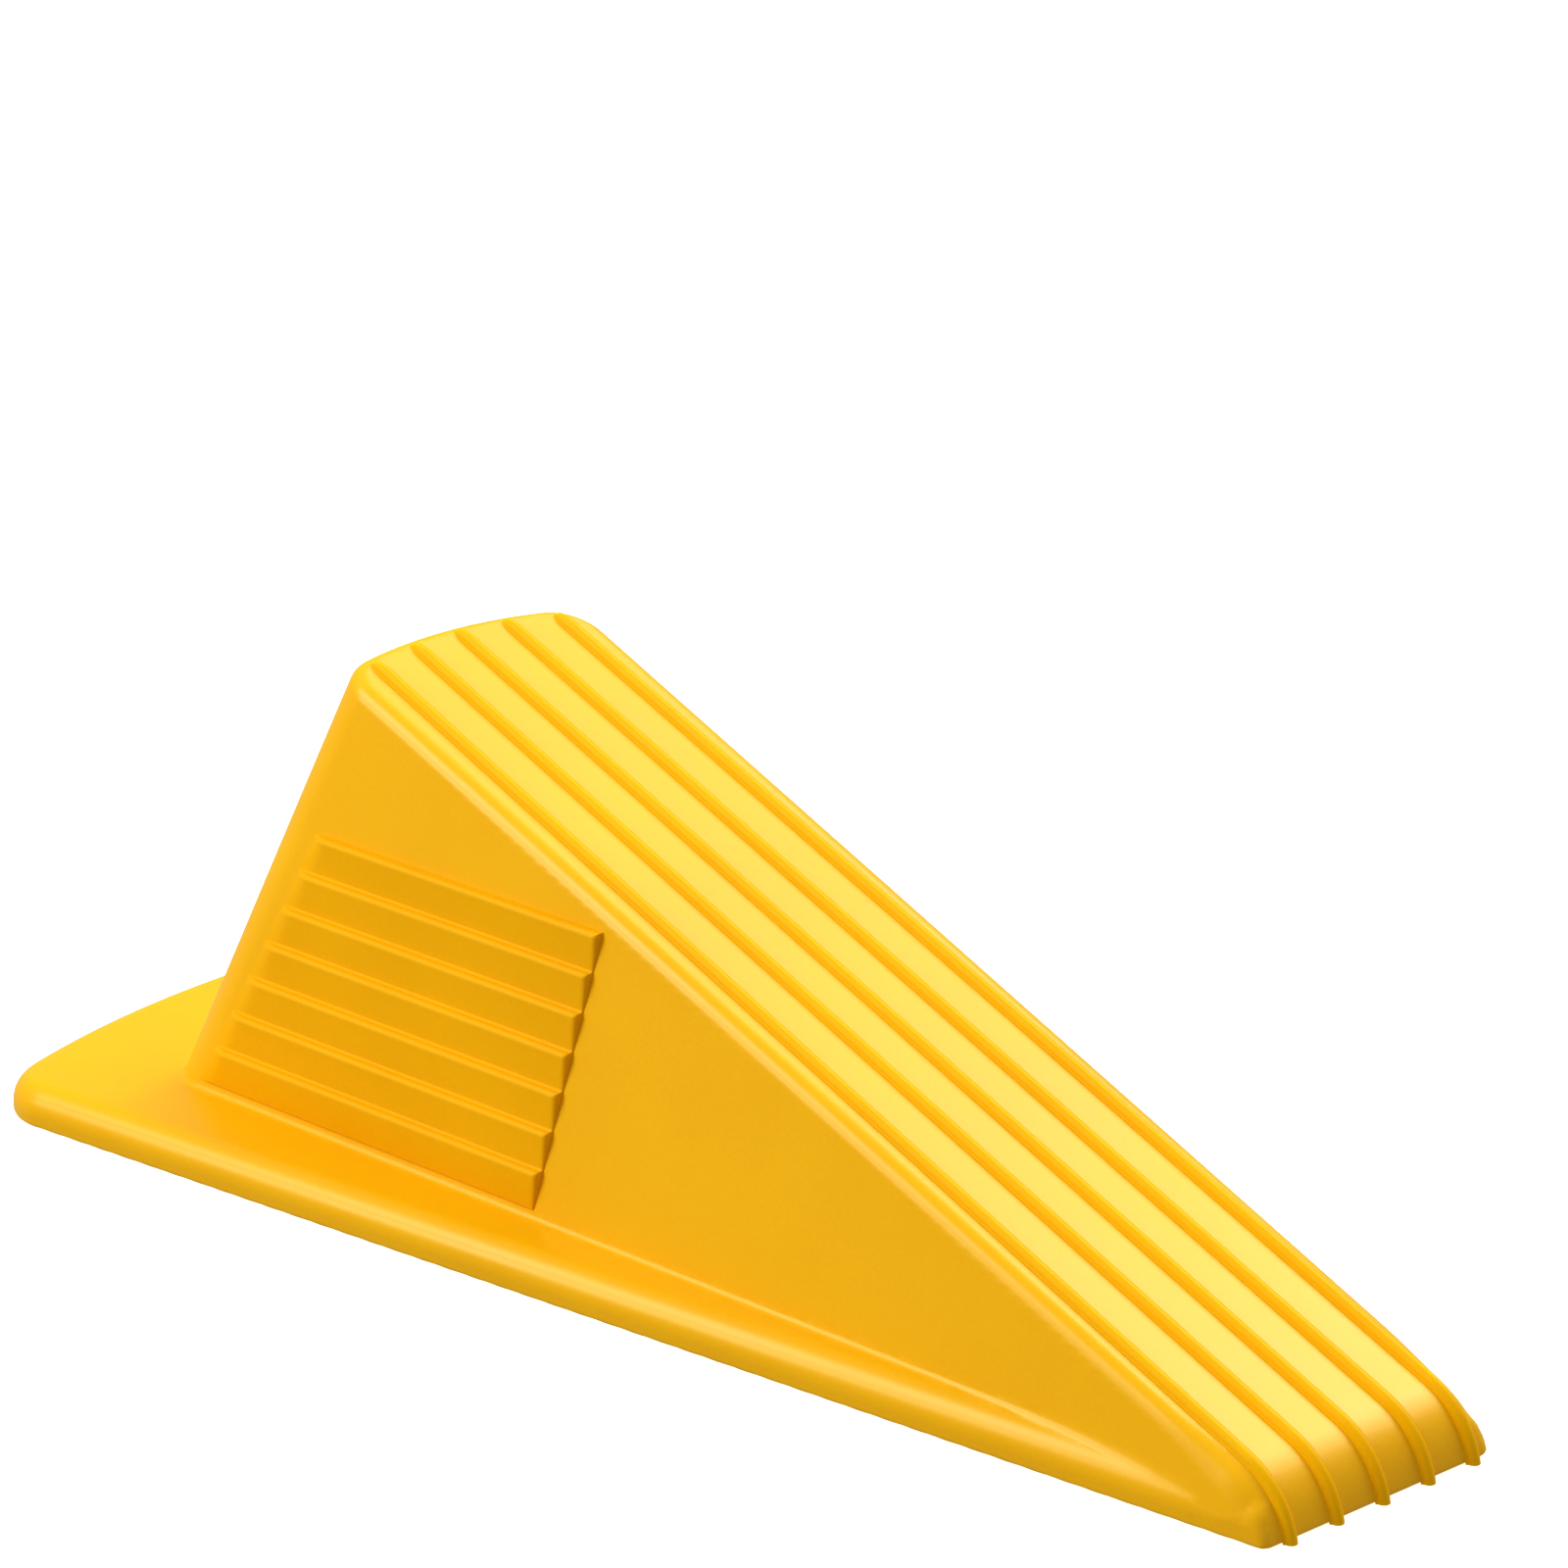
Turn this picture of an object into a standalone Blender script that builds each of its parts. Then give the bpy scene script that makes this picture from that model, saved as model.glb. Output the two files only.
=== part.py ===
"""Ribbed rubber wedge: a long low wedge with a rounded toe, five ribs along its ramp, a field of
saw-tooth finger grips on each side, a thin flared foot round its sides and heel, and a cored-out
underside stiffened by webs.

Frame: metres, +Z up, the floor at z = 0. +X points along the wedge from the heel to the toe, and
+Y is its left side. The origin is on the floor at the middle of the whole length, on the centre
line. The real object is one moulding; each region of it is one solid here, with a small gap to
its neighbours.
"""

import math

import bmesh
import bpy
import numpy as np
from mathutils import Vector

# ---- overall -------------------------------------------------------------------------------
LENGTH = 0.17145  # heel of the foot to the front of the ribs
GAP = 0.0003  # between neighbouring regions

# ---- ramp and toe --------------------------------------------------------------------------
RAMP_SLOPE = 0.3406  # rise per unit length, about 18.8 degrees
RAMP_Z0 = 0.00442  # height of the ramp's plane above the foot of the toe
TOE_LEAN = math.radians(11.0)  # the toe's front face leans back
TOE_RADIUS = 0.0086  # ramp rolling over into the front face
TOE_CORNER = 0.0018  # upright corners of the toe, in plan
ROLL_CORNER = 0.0036  # side edges of the toe above the foot
EDGE_RADIUS = 0.0020  # long edges of the ramp

# ---- side walls ----------------------------------------------------------------------------
RAMP_HALF_WIDTH = 0.01460  # half width of the ramp at the toe
RAMP_TAPER = 0.0095  # growth of that half width per unit length
DRAFT = 0.272  # the walls spread by this much per unit drop below the ramp

# ---- rear wall: ruled between an arc at the rim and a wider arc on the floor -------------------
RIM_Z = 0.05105
RIM_APEX = 0.13695  # distance behind the toe
RIM_ARC = 0.0496
HEEL_APEX = 0.15328
HEEL_ARC = 0.1890
WALL_CORNER = 0.0059  # upright corners between the side walls and the rear wall
RIM_RADIUS = 0.0016  # rim between ramp and rear wall

# ---- foot flange ---------------------------------------------------------------------------
FOOT_HALF_WIDTH = 0.01490  # at the toe
FOOT_FLARE = 0.1815  # growth of the half width per unit length
FOOT_THICK = 0.0042
FOOT_START = 0.0026  # behind the toe, where the foot first stands clear of the wall
FOOT_ARC = 0.1050  # radius of the heel in plan
FOOT_ARC_CENTRE = 0.06564  # its centre, behind the toe
FOOT_CORNER = 0.0081
FOOT_EDGE = 0.0030  # rounding of the top outer edge

# ---- ribs ----------------------------------------------------------------------------------
RIB_PITCH = 0.00606
RIB_WIDTH = 0.0017
RIB_HEIGHT = 0.0008
RIB_ROOT = 0.0009  # depth of the rib's root below the surface
RIB_START = 0.0013  # distance from the rim to the rib's end

# ---- finger grips --------------------------------------------------------------------------
TEETH = 7
TOOTH_TOP_Z = 0.03357  # upper edge of the highest tooth
TOOTH_PITCH = 0.00406
TOOTH_OUT = 0.00115  # a tooth's upper edge stands this far out of the wall
TOOTH_IN = 0.00015  # and its lower edge this far
GRIP_ROOT = 0.0009
GRIP_FRONT = (0.09443, -0.0737)  # distance behind the toe at z = 0, and its change with height
GRIP_BACK = (0.14587, -0.3655)

# ---- underside -----------------------------------------------------------------------------
TOE_SOLID = 0.0240  # length of the solid toe
CAVITY_FRONT = 0.0280  # front of the hollow, behind the toe
RAMP_THICK = 0.0045
SIDE_THICK = 0.0042
REAR_THICK = 0.0045
WEB_THICK = 0.0034
WEB_LIFT = 0.0010  # the webs stop this far above the floor
CROSS_WEBS = (0.0570, 0.0860, 0.1150)  # centres, behind the toe

TOE_X = LENGTH / 2 - RIB_HEIGHT / math.cos(TOE_LEAN)  # the toe's front face, on the floor
SPLIT_X = TOE_X - TOE_SOLID

YELLOW = (0.93, 0.52, 0.012, 1.0)
YELLOW_RAMP = (0.95, 0.62, 0.03, 1.0)
YELLOW_DEEP = (0.90, 0.47, 0.01, 1.0)


# ---- convex solids as lists of half spaces ---------------------------------------------------
def unit(n):
    n = np.array(n, float)
    return n / np.linalg.norm(n)


def plane(n, d):
    """The half space n . p <= d, with n made a unit vector."""
    n = np.array(n, float)
    size = np.linalg.norm(n)
    return n / size, d / size


def moved(planes, out):
    return [(n, d + out) for n, d in planes]


def rounding(a, b, radius, steps):
    """Planes tangent to the fillet of this radius between planes a and b."""
    (na, da), (nb, db) = a, b
    centre = np.linalg.pinv(np.array([na, nb])) @ np.array([da - radius, db - radius])
    angle = math.acos(max(-1.0, min(1.0, float(na @ nb))))
    found = []
    for i in range(1, steps + 1):
        t = i / (steps + 1)
        n = (math.sin((1 - t) * angle) * na + math.sin(t * angle) * nb) / math.sin(angle)
        found.append((n, float(n @ centre) + radius))
    return found


def convex(planes):
    """A closed bmesh of the space inside all the planes."""
    bm = bmesh.new()
    bmesh.ops.create_cube(bm, size=1.0)
    for n, d in planes:
        co = Vector(n * d)
        geom = bm.verts[:] + bm.edges[:] + bm.faces[:]
        bmesh.ops.bisect_plane(
            bm, geom=geom, dist=1e-7, plane_co=co, plane_no=Vector(n), clear_outer=True
        )
        rim = [e for e in bm.edges if e.is_boundary]
        if rim:
            bmesh.ops.holes_fill(bm, edges=rim, sides=0)
    bmesh.ops.remove_doubles(bm, verts=bm.verts[:], dist=1e-6)
    bmesh.ops.dissolve_degenerate(bm, edges=bm.edges[:], dist=1e-6)
    bmesh.ops.recalc_face_normals(bm, faces=bm.faces[:])
    return bm


def clip(bm, n, d):
    """Cuts away what lies beyond one plane and closes the cut."""
    n = unit(n)
    geom = bm.verts[:] + bm.edges[:] + bm.faces[:]
    bmesh.ops.bisect_plane(
        bm, geom=geom, dist=1e-7, plane_co=Vector(n * d), plane_no=Vector(n), clear_outer=True
    )
    rim = [e for e in bm.edges if e.is_boundary]
    if rim:
        bmesh.ops.holes_fill(bm, edges=rim, sides=0)
    bmesh.ops.recalc_face_normals(bm, faces=bm.faces[:])


# ---- the surfaces of the wedge -----------------------------------------------------------------
RAMP = plane((RAMP_SLOPE, 0, 1), RAMP_Z0 + RAMP_SLOPE * TOE_X)
FRONT = plane((1, 0, math.tan(TOE_LEAN)), TOE_X)
FLOOR = plane((0, 0, -1), 0.0)
WALL_A = RAMP_HALF_WIDTH + DRAFT * RAMP_Z0
WALL_B = RAMP_TAPER + DRAFT * RAMP_SLOPE


def wall(side):
    return plane((WALL_B, side, DRAFT), WALL_A + WALL_B * TOE_X)


def wall_y(x, z):
    return WALL_A + WALL_B * (TOE_X - x) - DRAFT * z


def flare(side):
    return plane((FOOT_FLARE, side, 0), FOOT_HALF_WIDTH + FOOT_FLARE * TOE_X)


def rear(angle):
    """The plane that touches the rear wall along its ruling at this angle from the centre line."""
    c, s = math.cos(angle), math.sin(angle)
    high = np.array([TOE_X - RIM_APEX + RIM_ARC * (1 - c), RIM_ARC * s, RIM_Z])
    low = np.array([TOE_X - HEEL_APEX + HEEL_ARC * (1 - c), HEEL_ARC * s, 0.0])
    n = np.cross([s, c, 0.0], high - low)
    n = n if n[0] < 0 else -n
    return plane(n, float(n @ low))


TOE_ROLL = rounding(RAMP, FRONT, TOE_RADIUS, 6)
REAR_WALL = [rear(math.radians(a)) for a in (-18, -12, -6, 0, 6, 12, 18)]


def wedge_planes():
    planes = [FLOOR, RAMP, FRONT] + TOE_ROLL + REAR_WALL
    planes += rounding(RAMP, REAR_WALL[3], RIM_RADIUS, 1)
    for p in REAR_WALL[:3] + REAR_WALL[4:]:
        planes += rounding(RAMP, p, RIM_RADIUS, 1)
    for side, heel in ((-1, REAR_WALL[0]), (1, REAR_WALL[-1])):
        skirt = moved([flare(side)], -0.00002)[0]
        planes += [wall(side), skirt]
        corner = rounding(wall(side), heel, WALL_CORNER, 3)
        planes += corner
        for p in corner:
            planes += rounding(RAMP, p, RIM_RADIUS, 1)
        planes += rounding(RAMP, wall(side), EDGE_RADIUS, 3)
        for p in TOE_ROLL[1:] + [FRONT]:
            planes += rounding(p, wall(side), ROLL_CORNER, 2)
        for p in [FRONT] + TOE_ROLL:
            planes += rounding(p, skirt, TOE_CORNER, 2)
    return planes


def foot_planes():
    heel = []
    for a in range(-20, 21, 5):
        n = unit((-math.cos(math.radians(a)), math.sin(math.radians(a)), 0))
        heel.append((n, float(n @ np.array([TOE_X - FOOT_ARC_CENTRE, 0, 0])) + FOOT_ARC))
    upright = list(heel)
    for side, last in ((-1, heel[0]), (1, heel[-1])):
        upright.append(flare(side))
        upright += rounding(flare(side), last, FOOT_CORNER, 4)
    top = plane((0, 0, 1), FOOT_THICK)
    planes = [FLOOR, top, plane((1, 0, 0), TOE_X - FOOT_START)] + upright
    for p in upright:
        planes += rounding(top, p, FOOT_EDGE, 2)
    return planes


def cavity_planes(inset=0.0):
    planes = moved([RAMP], -RAMP_THICK - inset)
    planes += moved([wall(-1), wall(1)], -SIDE_THICK - inset)
    planes += moved(REAR_WALL, -REAR_THICK - inset)
    planes.append(plane((1, 0, 0), TOE_X - CAVITY_FRONT - inset))
    return planes


# ---- ribs ------------------------------------------------------------------------------------
def rib_path(y, start, drop):
    """Points and outward normals in the XZ plane: along the ramp, over the toe and down."""
    n1, n2 = RAMP[0], FRONT[0]
    centre = np.linalg.pinv(np.array([n1, n2])) @ np.array(
        [RAMP[1] - TOE_RADIUS, FRONT[1] - TOE_RADIUS]
    )
    a1, a2 = math.atan2(n1[2], n1[0]), math.atan2(n2[2], n2[0])
    rim_x = TOE_X - RIM_APEX + RIM_ARC - math.sqrt(RIM_ARC**2 - y * y)
    x = rim_x + start
    points = [(np.array([x, 0, (RAMP[1] - n1[0] * x) / n1[2]]), n1)]
    for i in range(9):
        a = a1 + (a2 - a1) * i / 8
        n = np.array([math.cos(a), 0, math.sin(a)])
        points.append((centre + TOE_RADIUS * n, n))
    points.append((np.array([(FRONT[1] + n2[2] * drop) / n2[0], 0, -drop]), n2))
    return points


def sweep(path, section, y):
    """Carries a closed section of (across, out) points along the path."""
    bm = bmesh.new()
    rings = []
    for at, n in path:
        rings.append(
            [bm.verts.new((at[0] + h * n[0], y + v, at[2] + h * n[2])) for v, h in section]
        )
    for a, b in zip(rings, rings[1:]):
        for i in range(len(section)):
            j = (i + 1) % len(section)
            bm.faces.new((a[i], a[j], b[j], b[i]))
    bm.faces.new(rings[0][::-1])
    bm.faces.new(rings[-1])
    bmesh.ops.recalc_face_normals(bm, faces=bm.faces[:])
    return bm


def rib_section():
    w = RIB_WIDTH / 2
    top = [(w * math.cos(a), RIB_HEIGHT * math.sin(a)) for a in np.linspace(0, math.pi, 7)]
    return [(w, -RIB_ROOT)] + [(float(v), float(h)) for v, h in top] + [(-w, -RIB_ROOT)]


def rib(y):
    bm = sweep(rib_path(y, RIB_START, 0.002), rib_section(), y)
    clip(bm, (0, 0, -1), 0.0)
    return bm


def rib_groove(y):
    w, low, high = RIB_WIDTH / 2 + GAP, -RIB_ROOT - GAP, 0.004
    return sweep(rib_path(y, RIB_START - GAP, 0.003), [(w, low), (w, high), (-w, high), (-w, low)], y)


# ---- finger grips ------------------------------------------------------------------------------
def side_prism(side, profile, grow):
    """A prism lying on a side wall: profile holds (height, out of the wall) points, and its two
    ends follow the grip's front and back lines, moved apart by grow."""
    bm = bmesh.new()
    ends = []
    for (u0, slope), out in ((GRIP_FRONT, grow), (GRIP_BACK, -grow)):
        ring = []
        for z, p in profile:
            x = TOE_X - (u0 + slope * z) + out
            ring.append(bm.verts.new((x, side * (wall_y(x, z) + p), z)))
        ends.append(ring)
    front, back = ends
    for i in range(len(profile)):
        j = (i + 1) % len(profile)
        bm.faces.new((front[i], front[j], back[j], back[i]))
    bm.faces.new(front[::-1])
    bm.faces.new(back)
    bmesh.ops.recalc_face_normals(bm, faces=bm.faces[:])
    return bm


def grip(side):
    profile = [(TOOTH_TOP_Z, -GRIP_ROOT), (TOOTH_TOP_Z, TOOTH_OUT)]
    for i in range(1, TEETH):
        z = TOOTH_TOP_Z - i * TOOTH_PITCH
        profile += [(z, TOOTH_IN), (z, TOOTH_OUT)]
    z = TOOTH_TOP_Z - TEETH * TOOTH_PITCH
    profile += [(z, TOOTH_IN), (z, -GRIP_ROOT)]
    return side_prism(side, profile, 0.0)


def grip_pocket(side):
    low, high = TOOTH_TOP_Z - TEETH * TOOTH_PITCH - GAP, TOOTH_TOP_Z + GAP
    deep = -GRIP_ROOT - GAP
    return side_prism(side, [(high, deep), (high, 0.004), (low, 0.004), (low, deep)], GAP)


# ---- objects -------------------------------------------------------------------------------------
def material(name, colour, roughness=0.42):
    made = bpy.data.materials.new(name)
    made.use_nodes = True
    shader = made.node_tree.nodes["Principled BSDF"]
    shader.inputs["Base Color"].default_value = colour
    shader.inputs["Roughness"].default_value = roughness
    shader.inputs["Metallic"].default_value = 0.0
    return made


def add(name, bm, parent=None, finish=None):
    mesh = bpy.data.meshes.new(name)
    bm.to_mesh(mesh)
    bm.free()
    made = bpy.data.objects.new(name, mesh)
    bpy.context.scene.collection.objects.link(made)
    if finish is not None:
        mesh.materials.append(finish)
    if parent is not None:
        made.parent = parent
    return made


def carve(target, tool_bm, operation):
    """One exact Boolean, applied, after which the tool is gone."""
    tool = add("tool", tool_bm)
    step = target.modifiers.new("step", "BOOLEAN")
    step.operation = operation
    step.solver = "EXACT"
    step.object = tool
    graph = bpy.context.evaluated_depsgraph_get()
    mesh = bpy.data.meshes.new_from_object(target.evaluated_get(graph))
    old = target.data
    target.modifiers.remove(step)
    target.data = mesh
    mesh.name = target.name
    bpy.data.meshes.remove(old)
    bpy.data.objects.remove(tool, do_unlink=True)


def tidy(target):
    bm = bmesh.new()
    bm.from_mesh(target.data)
    bmesh.ops.remove_doubles(bm, verts=bm.verts[:], dist=2e-6)
    bmesh.ops.dissolve_degenerate(bm, edges=bm.edges[:], dist=2e-6)
    bm.to_mesh(target.data)
    bm.free()


def main():
    for old in list(bpy.data.objects):
        bpy.data.objects.remove(old, do_unlink=True)

    root = bpy.data.objects.new("wedge", None)
    bpy.context.scene.collection.objects.link(root)

    rib_ys = [(i - 3) * RIB_PITCH for i in range(1, 6)]
    behind = plane((1, 0, 0), SPLIT_X - GAP)
    ahead = plane((-1, 0, 0), -SPLIT_X)

    shell = add("wedge_shell", convex(wedge_planes() + [behind]), root, material("shell", YELLOW))
    under = convex(cavity_planes() + [plane((0, 0, -1), 0.005)])
    carve(shell, under, "DIFFERENCE")
    for side in (-1, 1):
        carve(shell, grip_pocket(side), "DIFFERENCE")
    for y in rib_ys:
        carve(shell, rib_groove(y), "DIFFERENCE")
    tidy(shell)

    toe = add("toe", convex(wedge_planes() + [ahead]), root, material("toe", YELLOW))
    carve(toe, convex(foot_planes() + [ahead]), "UNION")
    for y in rib_ys:
        carve(toe, rib_groove(y), "DIFFERENCE")
    tidy(toe)

    foot = add("foot_flange", convex(foot_planes() + [behind]), root, material("foot", YELLOW))
    grown = moved(wedge_planes()[1:], GAP) + [plane((0, 0, -1), 0.005)]
    carve(foot, convex(grown), "DIFFERENCE")
    tidy(foot)

    for i, y in enumerate(rib_ys):
        add(f"ramp_rib_{i + 1}", rib(y), root, material(f"rib_{i + 1}", YELLOW_RAMP))

    for side, word in ((1, "left"), (-1, "right")):
        add(f"side_grip_{word}", grip(side), root, material(f"grip_{word}", YELLOW_DEEP))

    inner = cavity_planes(GAP) + [plane((0, 0, -1), -WEB_LIFT)]
    half = WEB_THICK / 2
    across = [plane((0, 1, 0), half), plane((0, -1, 0), half)]
    add("centre_web", convex(inner + across), root, material("centre_web", YELLOW))
    for side, word in ((1, "left"), (-1, "right")):
        for k, u in enumerate(CROSS_WEBS):
            x = TOE_X - u
            planes = [plane((1, 0, 0), x + half), plane((-1, 0, 0), -(x - half))]
            planes.append(plane((0, -side, 0), -(half + GAP)))
            name = f"cross_web_{word}_{k + 1}"
            add(name, convex(inner + planes), root, material(name, YELLOW))


main()
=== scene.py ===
import math

import bmesh
import bpy
import numpy as np
from mathutils import Matrix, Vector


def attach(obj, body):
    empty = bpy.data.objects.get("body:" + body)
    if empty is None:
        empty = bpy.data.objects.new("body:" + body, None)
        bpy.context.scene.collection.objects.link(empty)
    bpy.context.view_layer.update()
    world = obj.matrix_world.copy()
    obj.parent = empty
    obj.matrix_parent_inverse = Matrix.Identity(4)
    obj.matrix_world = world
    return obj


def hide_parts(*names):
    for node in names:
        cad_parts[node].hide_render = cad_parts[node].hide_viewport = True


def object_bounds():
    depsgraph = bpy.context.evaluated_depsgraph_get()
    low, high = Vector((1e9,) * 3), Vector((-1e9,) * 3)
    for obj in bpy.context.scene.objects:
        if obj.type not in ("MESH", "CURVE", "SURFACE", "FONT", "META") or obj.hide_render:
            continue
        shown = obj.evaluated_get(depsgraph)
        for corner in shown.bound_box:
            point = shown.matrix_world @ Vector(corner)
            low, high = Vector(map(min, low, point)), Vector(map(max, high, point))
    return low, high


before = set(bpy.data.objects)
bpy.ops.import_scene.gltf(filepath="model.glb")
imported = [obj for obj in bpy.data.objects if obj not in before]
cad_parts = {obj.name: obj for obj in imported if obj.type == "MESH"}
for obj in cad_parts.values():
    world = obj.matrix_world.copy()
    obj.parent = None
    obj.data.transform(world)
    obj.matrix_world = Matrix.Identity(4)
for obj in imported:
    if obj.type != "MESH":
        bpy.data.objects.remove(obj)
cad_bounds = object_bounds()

# The finished surface of the ribbed wedge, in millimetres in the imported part's own frame: +X to
# the toe, +Y to the left, +Z up from the floor. u is the distance behind the toe.
MM = 0.001
BOX_LO, BOX_HI = (np.array(v) * 1000 for v in (cad_bounds[0], cad_bounds[1]))
LENGTH = float(BOX_HI[0] - BOX_LO[0])
RIB_H, RIB_W = 0.80, 0.85
LEAN = math.radians(11.0)
TOE_X = float(BOX_HI[0]) - RIB_H / math.cos(LEAN)

SLOPE, RAMP_Z0 = 0.3406, 4.42
HALF_W, TAPER, DRAFT = 14.60, 0.0095, 0.272
TOE_R, ROLL_CORNER, TOE_CORNER, EDGE_R = 8.6, 3.6, 1.8, 2.0
RIM_Z, RIM_APEX, RIM_ARC = 51.05, 136.95, 49.6
HEEL_APEX, HEEL_ARC = 153.28, 189.0
WALL_CORNER, RIM_R, FOLD_R = 5.9, 1.6, 0.75
FOOT_HALF, FLARE, FOOT_T = 14.90, 0.1815, 4.2
FOOT_ARC, FOOT_ARC_C, FOOT_CORNER, FOOT_EDGE = 105.0, 65.64, 8.1, 3.0
WALL_A = HALF_W + DRAFT * RAMP_Z0
WALL_B = TAPER + DRAFT * SLOPE
RIB_PITCH, RIB_START, RIB_SIDE = 6.06, 1.3, 0.3
RAMP_T, SIDE_T, REAR_T, CAVITY_FRONT = 4.5, 4.2, 4.5, 28.0
WEB_HALF, WEB_LIFT, CROSS = 1.7, 1.0, (57.0, 86.0, 115.0)
TEETH, TOOTH_TOP, TOOTH_PITCH, TOOTH_OUT, TOOTH_IN = 7, 33.57, 4.06, 1.15, 0.15
GRIP_FRONT, GRIP_BACK = (94.43, -0.0737), (145.87, -0.3655)


# ---- distance fields: each is (signed distance, unit normal) over an array of points ---------------
def unit(v):
    v = np.asarray(v, float)
    return v / np.linalg.norm(v)


def half_space(p, n, d):
    size = np.linalg.norm(n)
    n = np.asarray(n, float) / size
    return p @ n - d / size, np.broadcast_to(n, p.shape)


def sided(p, n, d):
    """The same half space on both sides of the centre line."""
    s = np.where(p[:, 1] < 0, -1.0, 1.0)
    q = p.copy()
    q[:, 1] *= s
    f, g = half_space(q, n, d)
    g = g.copy()
    g[:, 1] *= s
    return f, g


def both(a, b, r):
    """What is inside a and b, with the edge between them rounded to radius r."""
    (fa, na), (fb, nb) = a, b
    c = np.clip(np.sum(na * nb, axis=1), -0.97, 0.97)
    A, B = fa + r, fb + r
    k = 1.0 / (1.0 - c * c)
    al, be = (A - c * B) * k, (B - c * A) * k
    flat = np.where(fa > fb, fa, fb)
    flat_n = np.where((fa > fb)[:, None], na, nb)
    q = al[:, None] * na + be[:, None] * nb
    size = np.linalg.norm(q, axis=1) + 1e-9
    on = (al > 0) & (be > 0) & (np.sum(na * nb, axis=1) < 0.97)
    f = np.where(on, size - r, flat)
    n = np.where(on[:, None], q / size[:, None], flat_n)
    return f, n


def out(a):
    return -a[0], -a[1]


def either(a, b, r):
    """What is inside a or b, with a fillet of radius r in the corner between them."""
    return out(both(out(a), out(b), r))


def shrunk(a, t):
    return a[0] + t, a[1]


def ramp(p):
    return half_space(p, (SLOPE, 0, 1), RAMP_Z0 + SLOPE * TOE_X)


def front(p):
    return half_space(p, (1, 0, math.tan(LEAN)), TOE_X)


def wall(p):
    return sided(p, (WALL_B, 1, DRAFT), WALL_A + WALL_B * TOE_X)


def flare(p):
    return sided(p, (FLARE, 1, 0), FOOT_HALF + FLARE * TOE_X)


def floor(p):
    return half_space(p, (0, 0, -1), 0.0)


def rear(p):
    """The rear wall: at each height an arc, ruled from the rim down to a flatter arc at the floor."""
    t = p[:, 2] / RIM_Z
    apex = HEEL_APEX + (RIM_APEX - HEEL_APEX) * t
    arc = HEEL_ARC + (RIM_ARC - HEEL_ARC) * t
    du = (TOE_X - p[:, 0]) - (apex - arc)
    rho = np.hypot(du, p[:, 1]) + 1e-9
    darc = (RIM_ARC - HEEL_ARC) / RIM_Z
    dc = (RIM_APEX - HEEL_APEX) / RIM_Z - darc
    g = np.stack([-du / rho, p[:, 1] / rho, -du / rho * dc - darc], 1)
    size = np.linalg.norm(g, axis=1)
    return (rho - arc) / size, g / size[:, None]


def heel(p):
    du = (TOE_X - p[:, 0]) - FOOT_ARC_C
    rho = np.hypot(du, p[:, 1]) + 1e-9
    g = np.stack([-du / rho, p[:, 1] / rho, np.zeros(len(p))], 1)
    return rho - FOOT_ARC, g


def smooth(x, lo, hi):
    t = np.clip((x - lo) / (hi - lo), 0, 1)
    return t * t * (3 - 2 * t)


def top_side(p):
    return both(ramp(p), front(p), TOE_R)


def outer(p):
    u = TOE_X - p[:, 0]
    top = top_side(p)
    w, h = wall(p), rear(p)
    side = both(w, h, WALL_CORNER)
    r = EDGE_R + (ROLL_CORNER - EDGE_R) * (1 - smooth(u, 3.0, 14.0))
    r = r + (TOE_CORNER + 0.3 - r) * smooth(top[1][:, 0], 0.70, 0.97)
    behind = smooth(-side[1][:, 0], 0.25, 0.75)
    r = r + (RIM_R - r) * behind
    wedge = both(top, side, r)
    wedge = both(wedge, flare(p), 1.2)
    rim = both(flare(p), heel(p), FOOT_CORNER)
    slab = both(rim, half_space(p, (0, 0, 1), FOOT_T), FOOT_EDGE)
    slab = both(slab, top, TOE_CORNER)
    return wedge, slab


def fold_radius(p):
    """The fillet where wall and flange meet: tight along the side, opening out towards the toe."""
    return FOLD_R + 1.5 * (1 - smooth(TOE_X - p[:, 0], 6.0, 38.0))


def hollow(p, t=0.0):
    roof = both(shrunk(ramp(p), RAMP_T + t), shrunk(wall(p), SIDE_T + t), 2.0)
    ends = both(
        shrunk(rear(p), REAR_T + t), half_space(p, (1, 0, 0.05), TOE_X - CAVITY_FRONT - t), 2.0
    )
    return both(roof, ends, 2.2)


def shell(p):
    wedge, slab = outer(p)
    body = either(wedge, slab, fold_radius(p))
    body = both(body, floor(p), 0.45)
    return both(body, out(hollow(p)), 0.6)


def web_between(p, across, at):
    s = np.zeros((len(p), 3))
    d = p[:, 0] - (TOE_X - at) if across else p[:, 1]
    s[:, 0 if across else 1] = np.where(d < 0, -1.0, 1.0)
    thick = np.abs(d) - WEB_HALF, s
    return both(thick, half_space(p, (0, 0, -1), -WEB_LIFT), 0.7)


def centre_web(p, cut=True):
    web = web_between(p, False, 0.0)
    solid = either(web, out(hollow(p)), 1.6)
    solid = both(solid, half_space(p, (0, 0, -1), -WEB_LIFT), 0.3)
    if not cut:
        return solid
    solid = both(solid, hollow(p, -0.22), 0.02)
    wide = np.abs(p[:, 1]) - (WEB_HALF + 1.45)
    s = np.zeros((len(p), 3))
    s[:, 1] = np.where(p[:, 1] < 0, -1.0, 1.0)
    return both(solid, (wide, s), 0.02)


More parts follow.
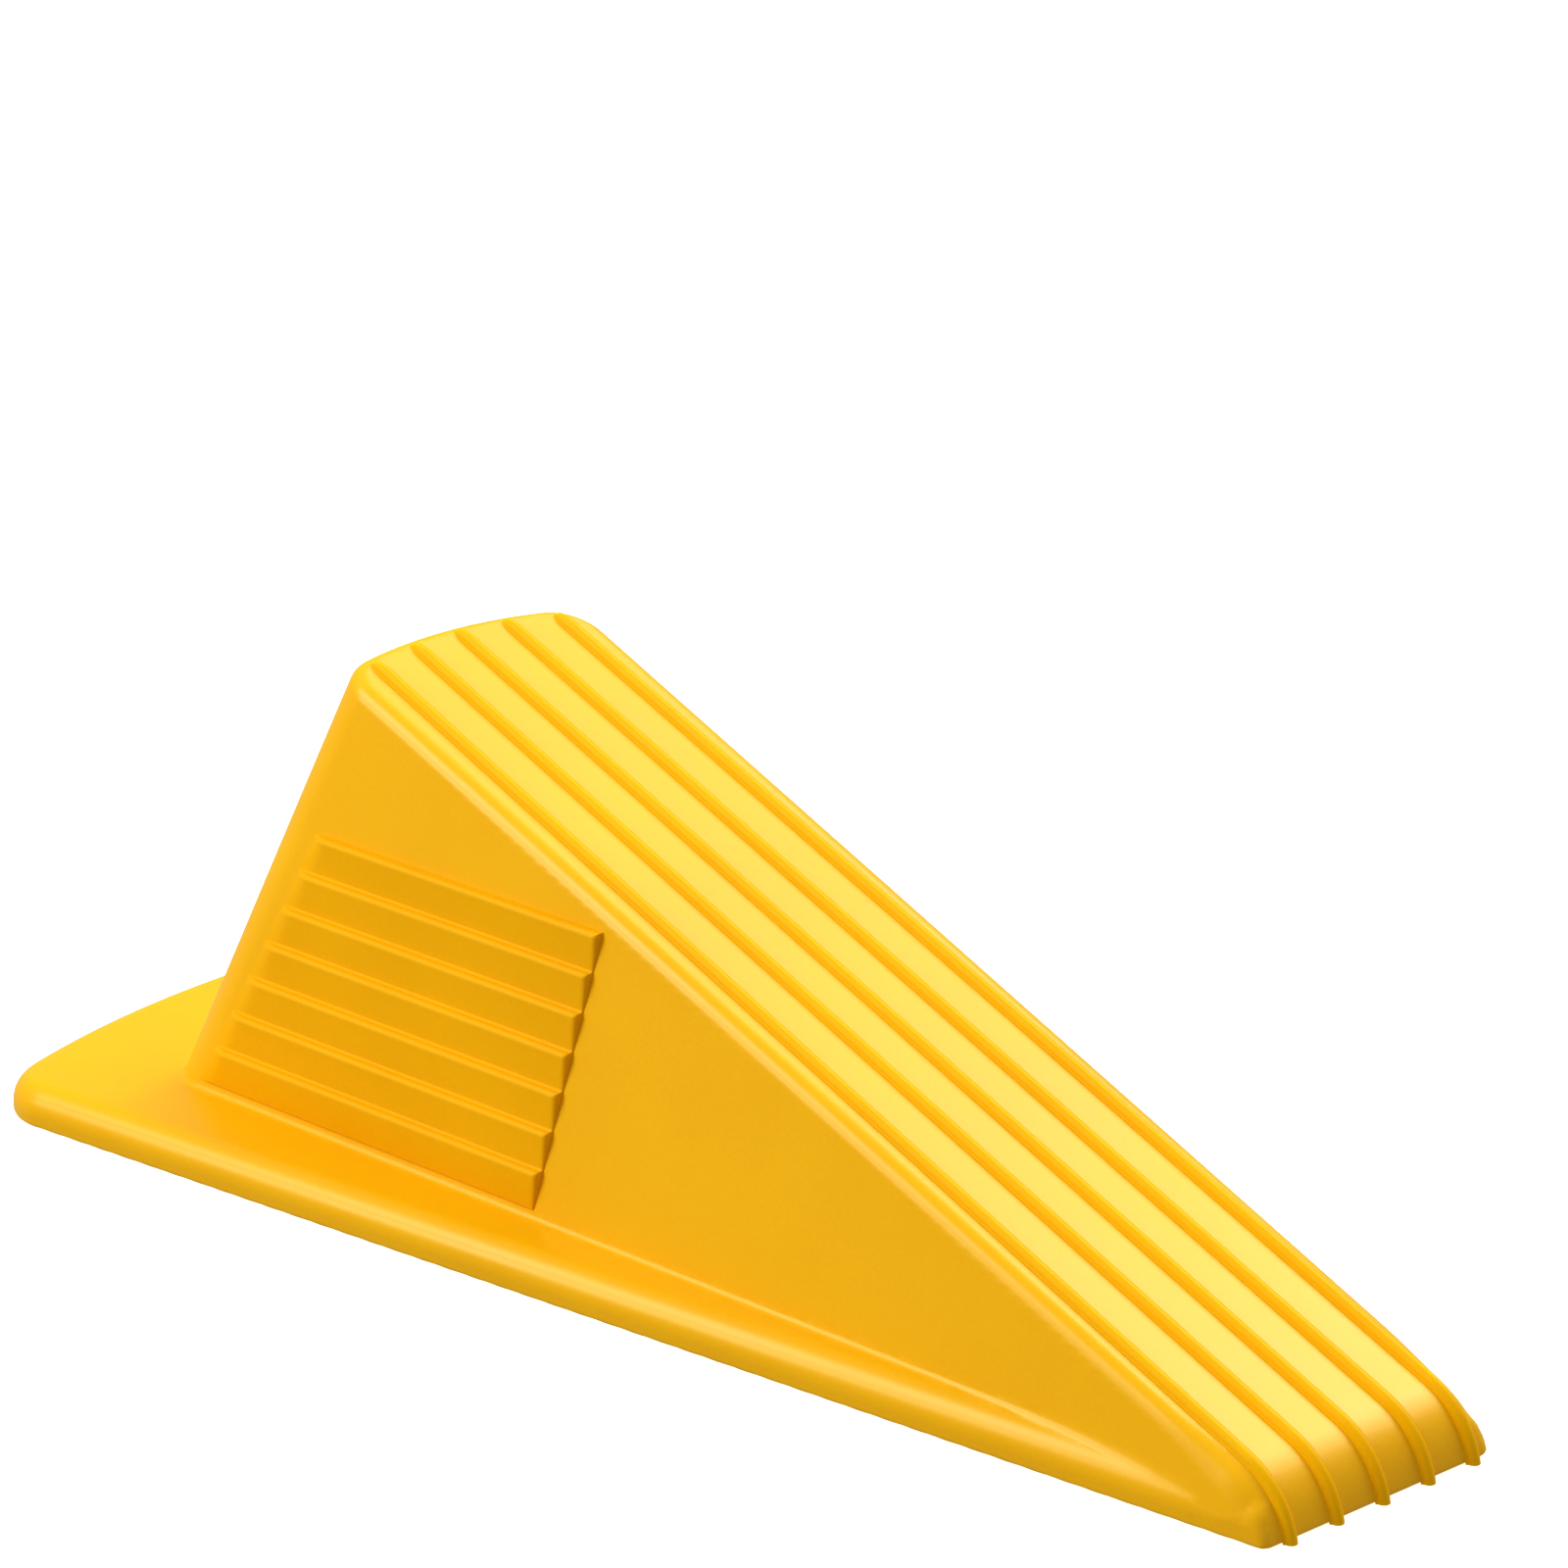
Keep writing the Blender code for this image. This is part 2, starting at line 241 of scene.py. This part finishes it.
def cross_web(at, side, cut=True):
    def field(p):
        web = web_between(p, True, at)
        middle = np.zeros((len(p), 3))
        middle[:, 1] = 1.0
        walls = either(out(hollow(p)), (np.abs(p[:, 1]) - WEB_HALF, np.where(p[:, 1:2] < 0, -1.0, 1.0) * middle), 1.4)
        solid = either(web, walls, 1.6)
        solid = both(solid, half_space(p, (0, 0, -1), -WEB_LIFT), 0.3)
        if not cut:
            return solid
        solid = both(solid, hollow(p, -0.22), 0.02)
        d = p[:, 0] - (TOE_X - at)
        s = np.zeros((len(p), 3))
        s[:, 0] = np.where(d < 0, -1.0, 1.0)
        solid = both(solid, (np.abs(d) - (WEB_HALF + 1.45), s), 0.02)
        return both(solid, half_space(p, (0, -side, 0), -(WEB_HALF - 0.22)), 0.02)

    return field


# ---- meshing ------------------------------------------------------------------------------------
def surface(field, lo, hi, step, fine_floor=False, rounds=4):
    """Surface nets over a grid, then every point walked onto the surface along the normal."""
    axes = [np.arange(lo[i], hi[i] + step, step) for i in range(3)]
    if fine_floor:
        low = np.arange(-0.45, 1.05, 0.15)
        axes[2] = np.concatenate([low, np.arange(low[-1] + 0.4, hi[2] + step, step)])
    n = np.array([len(a) for a in axes])
    values = np.empty(n, np.float32)
    yy, zz = np.meshgrid(axes[1], axes[2], indexing="ij")
    chunk = max(1, int(400000 // yy.size))
    for i in range(0, n[0], chunk):
        xs = axes[0][i:i + chunk]
        p = np.stack(
            [
                np.repeat(xs, yy.size),
                np.tile(yy.ravel(), len(xs)),
                np.tile(zz.ravel(), len(xs)),
            ],
            1,
        )
        values[i:i + chunk] = field(p)[0].reshape(len(xs), n[1], n[2])
    inside = values < 0
    corner = np.zeros(np.array(n) - 1, np.uint8)
    total = np.zeros(list(np.array(n) - 1) + [3], np.float32)
    count = np.zeros(np.array(n) - 1, np.float32)
    faces = []
    for axis in range(3):
        a = [slice(None)] * 3
        b = [slice(None)] * 3
        a[axis], b[axis] = slice(0, -1), slice(1, None)
        va, vb = values[tuple(a)], values[tuple(b)]
        cross = (va < 0) != (vb < 0)
        idx = np.argwhere(cross)
        t = va[cross] / (va[cross] - vb[cross])
        pos = idx.astype(np.float32)
        pos[:, axis] += t
        o1, o2 = [k for k in range(3) if k != axis]
        keep = (idx[:, o1] > 0) & (idx[:, o2] > 0) & (idx[:, o1] < n[o1] - 1) & (idx[:, o2] < n[o2] - 1)
        for d1 in (0, 1):
            for d2 in (0, 1):
                c = idx.copy()
                c[:, o1] -= d1
                c[:, o2] -= d2
                ok = (c[:, o1] >= 0) & (c[:, o2] >= 0) & (c[:, o1] < n[o1] - 1) & (c[:, o2] < n[o2] - 1)
                cc = c[ok]
                np.add.at(total, (cc[:, 0], cc[:, 1], cc[:, 2]), pos[ok])
                np.add.at(count, (cc[:, 0], cc[:, 1], cc[:, 2]), 1)
        quad = []
        for d1, d2 in ((0, 0), (1, 0), (1, 1), (0, 1)):
            c = idx[keep].copy()
            c[:, o1] -= d1
            c[:, o2] -= d2
            quad.append(c)
        flip = (va[cross][keep] < 0) != (axis == 1)
        faces.append((np.stack(quad, 1), flip))
    del corner, inside
    cells = np.argwhere(count > 0)
    number = np.full(count.shape, -1, np.int64)
    number[tuple(cells.T)] = np.arange(len(cells))
    points = total[tuple(cells.T)] / count[tuple(cells.T)][:, None]
    points = points.astype(float)
    points = np.stack(
        [np.interp(points[:, i], np.arange(n[i]), axes[i]) for i in range(3)], 1
    )
    quads = []
    for q, flip in faces:
        ids = number[q[..., 0], q[..., 1], q[..., 2]]
        ids = np.where(flip[:, None], ids[:, ::-1], ids)
        quads.append(ids)
    quads = np.concatenate(quads)
    for _ in range(rounds):
        f, g = field(points)
        points = points - g * np.clip(f, -step, step)[:, None]
    return points, quads


def normals_of(field, p, h=0.02):
    """The surface's normals, from differences of the distance, pushed off the exact surface so
    that a sharp edge gives the mean of its two sides."""
    g = np.zeros_like(p)
    for k in range(3):
        e = np.zeros(3)
        e[k] = h
        g[:, k] = field(p + e)[0] - field(p - e)[0]
    return g / (np.linalg.norm(g, axis=1)[:, None] + 1e-12)


def build(name, points, faces, normals=None, finish=None, parent=None):
    mesh = bpy.data.meshes.new(name)
    mesh.from_pydata((points * MM).tolist(), [], faces if isinstance(faces, list) else faces.tolist())
    mesh.validate()
    mesh.polygons.foreach_set("use_smooth", [True] * len(mesh.polygons))
    if normals is not None and len(mesh.vertices) == len(normals):
        mesh.normals_split_custom_set_from_vertices(normals.tolist())
    mesh.update()
    made = bpy.data.objects.new(name, mesh)
    bpy.context.scene.collection.objects.link(made)
    if finish is not None:
        mesh.materials.append(finish)
    return made


def closed_out(points, faces):
    """Turns the faces outwards if the volume comes out negative."""
    a, b, c = (points[faces[:, i]] for i in range(3))
    d = points[faces[:, 3]]
    vol = np.sum(np.cross(a, b) * c) + np.sum(np.cross(a, c) * d)
    return faces if vol > 0 else faces[:, ::-1]


def from_field(name, field, lo, hi, step, finish, fine_floor=False, facing=None):
    """facing is the field that the normals come from: a web's fillets run on into the body."""
    points, quads = surface(field, lo, hi, step, fine_floor)
    quads = closed_out(points, quads)
    return build(name, points, quads, normals_of(facing or field, points), finish)


# ---- materials ------------------------------------------------------------------------------------
def rubber(name, colour, deep, rough, grain=0.035, shine=0.5):
    """Satin moulded rubber: a fine matt grain, and slow patches of gloss and tone from the mould, where the tone runs
    at random between the colour and a deeper one."""
    m = bpy.data.materials.new(name)
    m.use_nodes = True
    t = m.node_tree
    n = t.nodes
    n.clear()
    o = n.new("ShaderNodeOutputMaterial")
    s = n.new("ShaderNodeBsdfPrincipled")
    t.links.new(s.outputs["BSDF"], o.inputs["Surface"])
    co = n.new("ShaderNodeTexCoord")
    slow = n.new("ShaderNodeTexNoise")
    slow.inputs["Scale"].default_value = 38.0
    slow.inputs["Detail"].default_value = 3.0
    slow.inputs["Roughness"].default_value = 0.55
    t.links.new(co.outputs["Object"], slow.inputs["Vector"])
    mix = n.new("ShaderNodeValToRGB")
    mix.color_ramp.elements[0].position = 0.30
    mix.color_ramp.elements[0].color = (*deep, 1)
    mix.color_ramp.elements[1].position = 0.62
    mix.color_ramp.elements[1].color = (*colour, 1)
    t.links.new(slow.outputs["Fac"], mix.inputs["Fac"])
    speck = n.new("ShaderNodeTexNoise")
    speck.inputs["Scale"].default_value = 2600.0
    speck.inputs["Detail"].default_value = 2.0
    t.links.new(co.outputs["Object"], speck.inputs["Vector"])
    hsv = n.new("ShaderNodeHueSaturation")
    span = n.new("ShaderNodeMapRange")
    span.inputs["From Min"].default_value = 0.3
    span.inputs["From Max"].default_value = 0.7
    span.inputs["To Min"].default_value = 0.985
    span.inputs["To Max"].default_value = 1.015
    t.links.new(speck.outputs["Fac"], span.inputs["Value"])
    t.links.new(span.outputs["Result"], hsv.inputs["Value"])
    t.links.new(mix.outputs["Color"], hsv.inputs["Color"])
    t.links.new(hsv.outputs["Color"], s.inputs["Base Color"])
    gloss = n.new("ShaderNodeMapRange")
    gloss.inputs["From Min"].default_value = 0.25
    gloss.inputs["From Max"].default_value = 0.75
    gloss.inputs["To Min"].default_value = rough - 0.03
    gloss.inputs["To Max"].default_value = rough + 0.03
    t.links.new(slow.outputs["Fac"], gloss.inputs["Value"])
    t.links.new(gloss.outputs["Result"], s.inputs["Roughness"])
    fine = n.new("ShaderNodeTexNoise")
    fine.inputs["Scale"].default_value = 1500.0
    fine.inputs["Detail"].default_value = 3.0
    t.links.new(co.outputs["Object"], fine.inputs["Vector"])
    bump = n.new("ShaderNodeBump")
    bump.inputs["Strength"].default_value = grain
    bump.inputs["Distance"].default_value = 0.0002
    t.links.new(fine.outputs["Fac"], bump.inputs["Height"])
    t.links.new(bump.outputs["Normal"], s.inputs["Normal"])
    s.inputs["IOR"].default_value = 1.50
    s.inputs["Specular IOR Level"].default_value = shine
    s.inputs["Specular Tint"].default_value = (1.0, 0.96, 0.88, 1)
    return m


YELLOW = (0.90, 0.512, 0.001)
YELLOW_DEEP = (0.87, 0.487, 0.001)
skin_mat = rubber("rubber_body", YELLOW, YELLOW_DEEP, 0.33)
rib_mat = rubber("rubber_rib", (0.91, 0.520, 0.001), (0.88, 0.495, 0.001), 0.42, 0.035, 0.18)
grip_mat = rubber("rubber_grip", (0.87, 0.480, 0.001), (0.84, 0.455, 0.001), 0.46, 0.06, 0.20)
under_mat = rubber("rubber_underside", (0.86, 0.475, 0.001), (0.80, 0.43, 0.001), 0.55, 0.10, 0.3)

# ---- body -----------------------------------------------------------------------------------------
STEP = 0.62
heel_x = TOE_X - (FOOT_ARC_C + FOOT_ARC)
body = from_field(
    "body_skin", shell, (heel_x - 2.1, -45.3, -1.9), (TOE_X + 2.0, 45.3, 53.0), STEP, skin_mat, True
)
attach(body, "root")
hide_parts("wedge_shell", "toe", "foot_flange")

# ---- webs of the underside ----------------------------------------------------------------------------
WEB_STEP = 0.55
web = from_field(
    "centre_web_skin",
    centre_web,
    (TOE_X - 154, -4.6, -0.9),
    (TOE_X - 25, 4.6, 50),
    WEB_STEP,
    under_mat,
    facing=lambda p: centre_web(p, False),
)
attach(web, "root")
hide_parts("centre_web")
for side, word in ((1, "left"), (-1, "right")):
    for k, at in enumerate(CROSS):
        far = WALL_A + WALL_B * at
        ys = sorted((side * 0.4, side * far))
        made = from_field(
            f"cross_web_{word}_{k + 1}_skin",
            cross_web(at, side),
            (TOE_X - at - 4.6, ys[0], -0.9),
            (TOE_X - at + 4.6, ys[1], RAMP_Z0 + SLOPE * at),
            WEB_STEP,
            under_mat,
            facing=cross_web(at, side, False),
        )
        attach(made, "root")
        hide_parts(f"cross_web_{word}_{k + 1}")


# ---- ribs ------------------------------------------------------------------------------------------
def rib_path(y):
    n1, n2 = unit((SLOPE, 0, 1)), unit((1, 0, math.tan(LEAN)))
    d1 = (RAMP_Z0 + SLOPE * TOE_X) / math.hypot(SLOPE, 1)
    d2 = TOE_X * math.cos(LEAN)
    centre = np.linalg.pinv(np.array([n1, n2])) @ np.array([d1 - TOE_R, d2 - TOE_R])
    a1, a2 = math.atan2(n1[2], n1[0]), math.atan2(n2[2], n2[0])
    rim_x = TOE_X - RIM_APEX + RIM_ARC - math.sqrt(RIM_ARC**2 - y * y)
    start = rim_x + RIB_START
    end = centre + TOE_R * n1
    pts, nrm = [], []
    flat = np.concatenate(
        [np.linspace(0, 2.4, 15), np.linspace(2.4, end[0] - start, 90)[1:]]
    )
    for s in flat:
        x = start + s
        pts.append((x, 0, (d1 - n1[0] * x) / n1[2]))
        nrm.append(n1)
    for a in np.linspace(a1, a2, 40)[1:]:
        nn = np.array([math.cos(a), 0, math.sin(a)])
        q = centre + TOE_R * nn
        pts.append(q)
        nrm.append(nn)
    if pts[-1][2] > 0:
        q = np.array([(d2 + n2[2] * 0.02) / n2[0], 0, -0.02])
        pts.append(q)
        nrm.append(n2)
    return np.array(pts, float), np.array(nrm, float)


def rib_section():
    """(across, out) over the rib: a round crest, steep flanks and a fillet into the ramp."""
    lean = math.radians(84)
    crest, root = 0.73, RIB_H / (1 - math.cos(lean)) - 0.73
    half = []
    for a in np.linspace(0, lean, 9):
        half.append((crest * math.sin(a), RIB_H - crest * (1 - math.cos(a))))
    foot = (crest + root) * math.sin(lean)
    for a in np.linspace(lean, 0, 9)[1:]:
        half.append((foot - root * math.sin(a), root * (1 - math.cos(a)) + 0.003))
    half.append((foot + 0.01, -0.10))
    left = [(-v, h) for v, h in reversed(half)]
    section = np.array(left + half[1:])
    section[:, 0] *= RIB_W * 0.97 / foot
    return section


def on_skin(p):
    """p walked onto the body's outer surface, and the way the surface faces there."""
    for _ in range(4):
        f, g = either(*outer(p), fold_radius(p))
        p = p - g * f[:, None]
    return p, either(*outer(p), fold_radius(p))[1]


def rib(name, y):
    pts, nrm = rib_path(y)
    sec = rib_section()
    seg = np.linalg.norm(np.diff(pts, axis=0), axis=1)
    s = np.concatenate([[0], np.cumsum(seg)])
    m = len(sec)
    t = np.minimum(1.0, s / 2.2)
    rise = np.sqrt(np.maximum(0.0, 1 - (1 - t) ** 2))
    wide = 0.35 + 0.65 * np.sqrt(np.maximum(0.0, 1 - (1 - np.minimum(1.0, s / 1.4)) ** 2))
    base = np.repeat(pts, m, axis=0)
    way = np.repeat(nrm, m, axis=0)
    base[:, 1] += y + np.tile(sec[:, 0], len(pts)) * np.repeat(wide, m)
    height = np.tile(sec[:, 1], len(pts))
    height = np.where(height > 0.003, (height - 0.003) * np.repeat(rise, m) + 0.003, height)
    foot, facing = on_skin(base)
    # The crest goes out square to the ramp; the roots lie on the body's own surface.
    share = np.clip(height / RIB_H, 0, 1)[:, None]
    out_way = facing * (1 - 0.6 * share) + way * 0.6 * share
    out_way /= np.linalg.norm(out_way, axis=1)[:, None]
    verts = foot + out_way * height[:, None]
    faces = []
    for i in range(len(pts) - 1):
        for j in range(m):
            k = (j + 1) % m
            faces.append((i * m + j, (i + 1) * m + j, (i + 1) * m + k, i * m + k))
    faces.append(tuple(range(m)))
    faces.append(tuple(reversed(range((len(pts) - 1) * m, len(pts) * m))))
    verts[:, 2] = np.maximum(verts[:, 2], 0.0)
    made = build(name, verts, faces, None, rib_mat)
    bm = bmesh.new()
    bm.from_mesh(made.data)
    bmesh.ops.recalc_face_normals(bm, faces=bm.faces[:])
    bm.to_mesh(made.data)
    bm.free()
    made.data.set_sharp_from_angle(angle=math.radians(60))
    return made


for i in range(1, 6):
    made = rib(f"ramp_rib_{i}_skin", (i - 3) * RIB_PITCH + RIB_SIDE)
    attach(made, "root")
    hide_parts(f"ramp_rib_{i}")


# ---- finger grips ---------------------------------------------------------------------------------
def arc_points(corner, a, b, r, n):
    """A fillet of radius r at corner, between the directions towards a and b."""
    c, a, b = (np.array(v, float) for v in (corner, a, b))
    da, db = unit(a - c), unit(b - c)
    half = math.acos(float(np.clip(da @ db, -1, 1))) / 2
    reach = r / math.tan(half)
    mid = unit(da + db)
    centre = c + mid * (r / math.sin(half))
    p, q = c + da * reach - centre, c + db * reach - centre
    t0 = math.atan2(p[1], p[0])
    t1 = math.atan2(q[1], q[0])
    while t1 - t0 > math.pi:
        t1 -= 2 * math.pi
    while t1 - t0 < -math.pi:
        t1 += 2 * math.pi
    return [centre + r * np.array([math.cos(t), math.sin(t)]) for t in np.linspace(t0, t1, n)]


FRONT_R = 0.45


def grip_profile():
    """(height, out of the wall) down the whole field of teeth."""
    raw = [(TOOTH_TOP + 0.02, -0.06)]
    corners = []
    for i in range(TEETH):
        z = TOOTH_TOP - i * TOOTH_PITCH
        corners.append((z, TOOTH_OUT, 0.42, 9))
        corners.append((z - TOOTH_PITCH, TOOTH_IN, 0.22, 6))
    pts = [np.array([TOOTH_TOP, -0.06])]
    seq = [(TOOTH_TOP, -0.06)] + [(c[0], c[1]) for c in corners] + [(TOOTH_TOP - TEETH * TOOTH_PITCH, -0.06)]
    for i, (z, o, r, n) in enumerate(corners):
        pts += arc_points((z, o), seq[i], seq[i + 2], r, n)
    pts.append(np.array([TOOTH_TOP - TEETH * TOOTH_PITCH - 0.02, -0.06]))
    del raw
    return np.array(pts)


def grip(name, side):
    prof = grip_profile()
    n_s = 70
    ss = np.concatenate(
        [[0.0, 0.0006, 0.0016, 0.003, 0.005, 0.0075, 0.0105, 0.014], np.linspace(0.03, 0.93, n_s - 12), np.linspace(0.935, 1.0, 9)]
    )
    verts, faces = [], []
    m = len(prof)
    for s in ss:
        for z, o in prof:
            u0 = GRIP_FRONT[0] + GRIP_FRONT[1] * z
            u1 = GRIP_BACK[0] + GRIP_BACK[1] * z
            u = u0 + (u1 - u0) * s
            length = u1 - u0
            left = (1 - s) * length
            fade = 1.0 if left > 2.6 else math.sin(math.pi / 2 * max(0.0, left) / 2.6)
            near = max(0.0, 1 - s * length / FRONT_R)
            h = o * fade if o > 0 else o
            if o > 0:
                h = max(0.0, h - FRONT_R * (1 - math.sqrt(1 - near * near)) * o / TOOTH_OUT)
            x = TOE_X - u
            y = WALL_A + WALL_B * u - DRAFT * z
            verts.append((x, side * (y + h * 1.0), z))
    for i in range(len(ss) - 1):
        for j in range(m - 1):
            faces.append((i * m + j, (i + 1) * m + j, (i + 1) * m + j + 1, i * m + j + 1))
        faces.append((i * m + m - 1, (i + 1) * m + m - 1, (i + 1) * m, i * m))
    faces.append(tuple(range(m)))
    faces.append(tuple(reversed(range((len(ss) - 1) * m, len(ss) * m))))
    made = build(name, np.array(verts), faces, None, grip_mat)
    bm = bmesh.new()
    bm.from_mesh(made.data)
    bmesh.ops.recalc_face_normals(bm, faces=bm.faces[:])
    bm.to_mesh(made.data)
    bm.free()
    made.data.set_sharp_from_angle(angle=math.radians(48))
    return made


for side, word in ((1, "left"), (-1, "right")):
    made = grip(f"side_grip_{word}_skin", side)
    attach(made, "root")
    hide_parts(f"side_grip_{word}")

# ---- floor, light and camera ---------------------------------------------------------------------------
floor_mesh = bpy.data.meshes.new("floor")
bm = bmesh.new()
bmesh.ops.create_grid(bm, x_segments=1, y_segments=1, size=3.0)
bm.to_mesh(floor_mesh)
bm.free()
floor_obj = bpy.data.objects.new("floor", floor_mesh)
bpy.context.scene.collection.objects.link(floor_obj)
floor_obj.location = (0, 0, -0.0001)
white = bpy.data.materials.new("floor_white")
white.use_nodes = True
ws = white.node_tree.nodes["Principled BSDF"]
ws.inputs["Base Color"].default_value = (0.93, 0.93, 0.93, 1)
ws.inputs["Roughness"].default_value = 0.9
ws.inputs["Specular IOR Level"].default_value = 0.1
ws.inputs["Emission Color"].default_value = (1, 1, 1, 1)
ws.inputs["Emission Strength"].default_value = 0.60
wt = white.node_tree
above = wt.nodes.new("ShaderNodeNewGeometry")
clear = wt.nodes.new("ShaderNodeBsdfTransparent")
sides = wt.nodes.new("ShaderNodeMixShader")
wt.links.new(above.outputs["Backfacing"], sides.inputs["Fac"])
wt.links.new(ws.outputs["BSDF"], sides.inputs[1])
wt.links.new(clear.outputs["BSDF"], sides.inputs[2])
wt.links.new(sides.outputs["Shader"], wt.nodes["Material Output"].inputs["Surface"])
floor_mesh.materials.append(white)
floor_obj.visible_diffuse = False
floor_obj.visible_glossy = False

world = bpy.data.worlds.new("studio")
bpy.context.scene.world = world
world.use_nodes = True
world.node_tree.nodes["Background"].inputs["Color"].default_value = (1.0, 1.0, 1.0, 1)
world.node_tree.nodes["Background"].inputs["Strength"].default_value = 0.365


def softbox(name, toward, distance, size, power, colour=(1, 1, 1)):
    """A square area light in the given direction from the wedge, facing it."""
    lamp = bpy.data.lights.new(name, "AREA")
    lamp.shape = "RECTANGLE"
    lamp.size, lamp.size_y = size
    lamp.energy = power
    lamp.color = colour
    made = bpy.data.objects.new(name, lamp)
    bpy.context.scene.collection.objects.link(made)
    d = unit(toward)
    aim = np.array([0.0, 0.0, 0.02])
    pos = aim + d * distance
    z = d
    x = unit(np.cross([0, 0, 1], z)) if abs(z[2]) < 0.99 else np.array([1.0, 0, 0])
    y = np.cross(z, x)
    made.matrix_world = Matrix(
        [[x[0], y[0], z[0], pos[0]], [x[1], y[1], z[1], pos[1]], [x[2], y[2], z[2], pos[2]], [0, 0, 0, 1]]
    )
    return made


def toward(azimuth, elevation):
    a, e = math.radians(azimuth), math.radians(elevation)
    return math.cos(a) * math.cos(e), math.sin(a) * math.cos(e), math.sin(e)


softbox("far_strip", toward(86, 46.5), 0.95, (0.50, 0.55), 2.95)
softbox("far_softbox", toward(114, 46.5), 0.95, (0.60, 0.50), 1.55)
softbox("low_softbox", toward(-121, 25), 1.0, (0.30, 0.20), 1.30)
softbox("near_softbox", toward(-126, 48), 0.93, (0.50, 0.40), 3.0)
softbox("rear_softbox", toward(176, 60), 0.45, (0.30, 0.30), 0.08)

AZ, EL, ROLL = math.radians(49.086), math.radians(20.059), math.radians(0.369)
FOCAL, TX, TY, DIST, FIT = 6093.185, 55.022, -66.339, 551.053, 0.9955
back = np.array([math.sin(AZ) * math.cos(EL), -math.cos(AZ) * math.cos(EL), math.sin(EL)])
right = np.array([math.cos(AZ), math.sin(AZ), 0])
up = np.cross(back, right)
R = np.stack([right, up, back])
c, s = math.cos(ROLL), math.sin(ROLL)
R = np.array([[c, -s, 0], [s, c, 0], [0, 0, 1]]) @ R
centre = (R.T @ np.array([-TX, -TY, DIST])) * FIT + np.array([TOE_X, 0, 0])
cam = bpy.data.cameras.new("camera")
cam.sensor_width = 36.0
cam.lens = FOCAL / 1600.0 * 36.0
cam.clip_start, cam.clip_end = 0.01, 20.0
cam_obj = bpy.data.objects.new("camera", cam)
bpy.context.scene.collection.objects.link(cam_obj)
cam_obj.matrix_world = Matrix(
    [[*R[:, k], centre[k] * MM] for k in range(3)] + [[0, 0, 0, 1]]
)
bpy.context.scene.camera = cam_obj
bpy.context.scene.view_settings.view_transform = "Standard"
bpy.context.scene.view_settings.look = "High Contrast"
